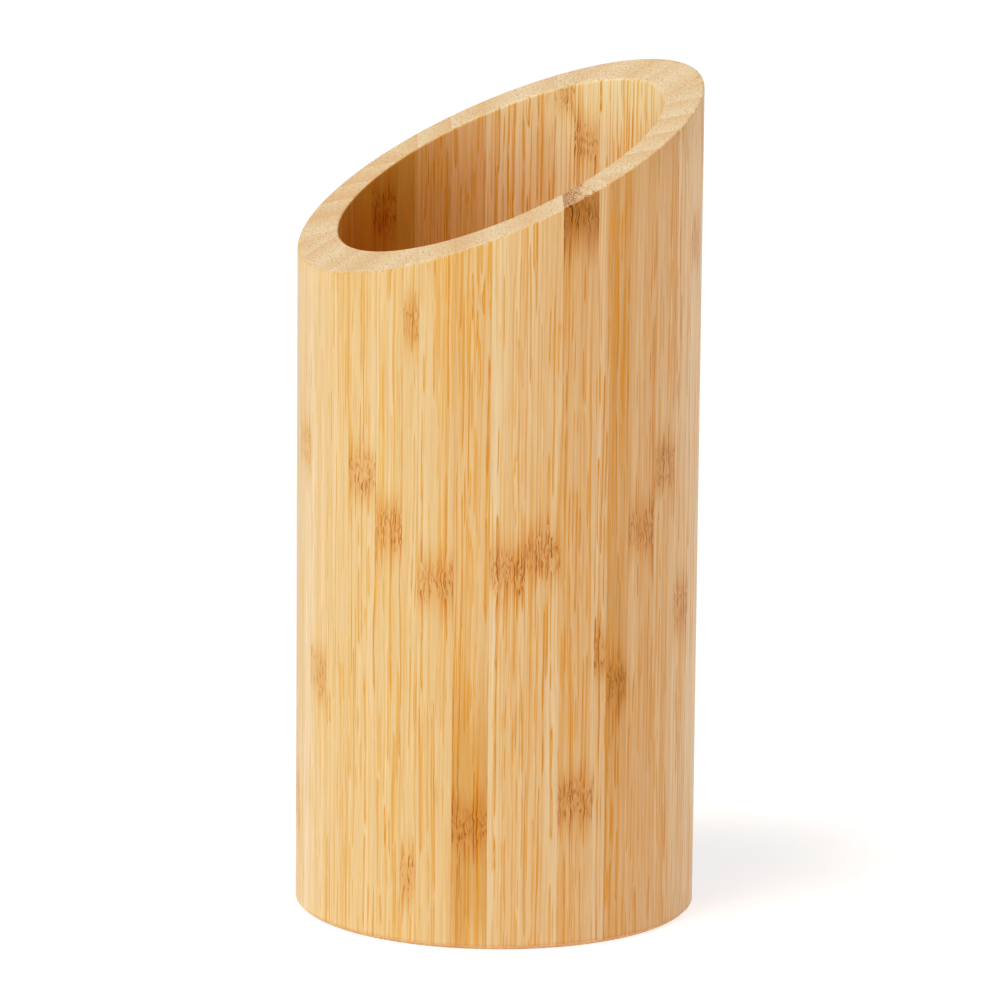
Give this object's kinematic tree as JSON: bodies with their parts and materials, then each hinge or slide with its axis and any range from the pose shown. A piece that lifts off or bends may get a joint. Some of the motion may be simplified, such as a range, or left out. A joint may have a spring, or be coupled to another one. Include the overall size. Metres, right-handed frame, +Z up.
{
  "type": "pen holder cup",
  "caption": "Tall round bamboo cup, open at the top, with a rim cut off at a slant; it stands on a flat foot and holds pens, brushes or rulers.",
  "frame": {"origin": "middle of the footprint, on the plane the cup stands on", "axes": "+Z up along the cup's axis; the rim is highest at +Y and lowest at -Y; +X is to the right seen from the low side"},
  "size_m": [0.08, 0.08, 0.1677],
  "materials": {
    "bamboo_pale": "sanded side-pressed bamboo, pale strip, thin clear satin finish",
    "bamboo_honey": "sanded side-pressed bamboo, honey strip, thin clear satin finish",
    "bamboo_brown": "sanded side-pressed bamboo, browner strip, thin clear satin finish"
  },
  "bodies": {
    "root": {"base_strip_1": "bamboo_honey", "base_strip_10": "bamboo_honey", "base_strip_11": "bamboo_honey", "base_strip_2": "bamboo_brown", "base_strip_3": "bamboo_honey", "base_strip_4": "bamboo_pale", "base_strip_5": "bamboo_honey", "base_strip_6": "bamboo_honey", "base_strip_7": "bamboo_brown", "base_strip_8": "bamboo_honey", "base_strip_9": "bamboo_pale", "front_left_strip_1": "bamboo_honey", "front_left_strip_2": "bamboo_pale", "front_left_strip_3": "bamboo_brown", "front_left_strip_4": "bamboo_honey", "front_left_strip_5": "bamboo_pale", "front_left_strip_6": "bamboo_honey", "front_right_strip_1": "bamboo_pale", "front_right_strip_2": "bamboo_pale", "front_right_strip_3": "bamboo_brown", "front_right_strip_4": "bamboo_honey", "front_right_strip_5": "bamboo_honey", "front_right_strip_6": "bamboo_brown", "front_right_strip_7": "bamboo_honey", "front_strip_1": "bamboo_pale", "front_strip_2": "bamboo_honey", "front_strip_3": "bamboo_honey", "front_strip_4": "bamboo_pale", "front_strip_5": "bamboo_honey", "front_strip_6": "bamboo_honey", "rear_left_strip_1": "bamboo_honey", "rear_left_strip_2": "bamboo_honey", "rear_left_strip_3": "bamboo_pale", "rear_left_strip_4": "bamboo_honey", "rear_left_strip_5": "bamboo_brown", "rear_left_strip_6": "bamboo_honey", "rear_right_strip_1": "bamboo_brown", "rear_right_strip_2": "bamboo_honey", "rear_right_strip_3": "bamboo_honey", "rear_right_strip_4": "bamboo_pale", "rear_right_strip_5": "bamboo_honey", "rear_right_strip_6": "bamboo_honey", "rear_strip_1": "bamboo_honey", "rear_strip_2": "bamboo_pale", "rear_strip_3": "bamboo_honey", "rear_strip_4": "bamboo_honey", "rear_strip_5": "bamboo_pale", "rear_strip_6": "bamboo_honey", "rear_strip_7": "bamboo_brown"}
  },
  "joints": []
}
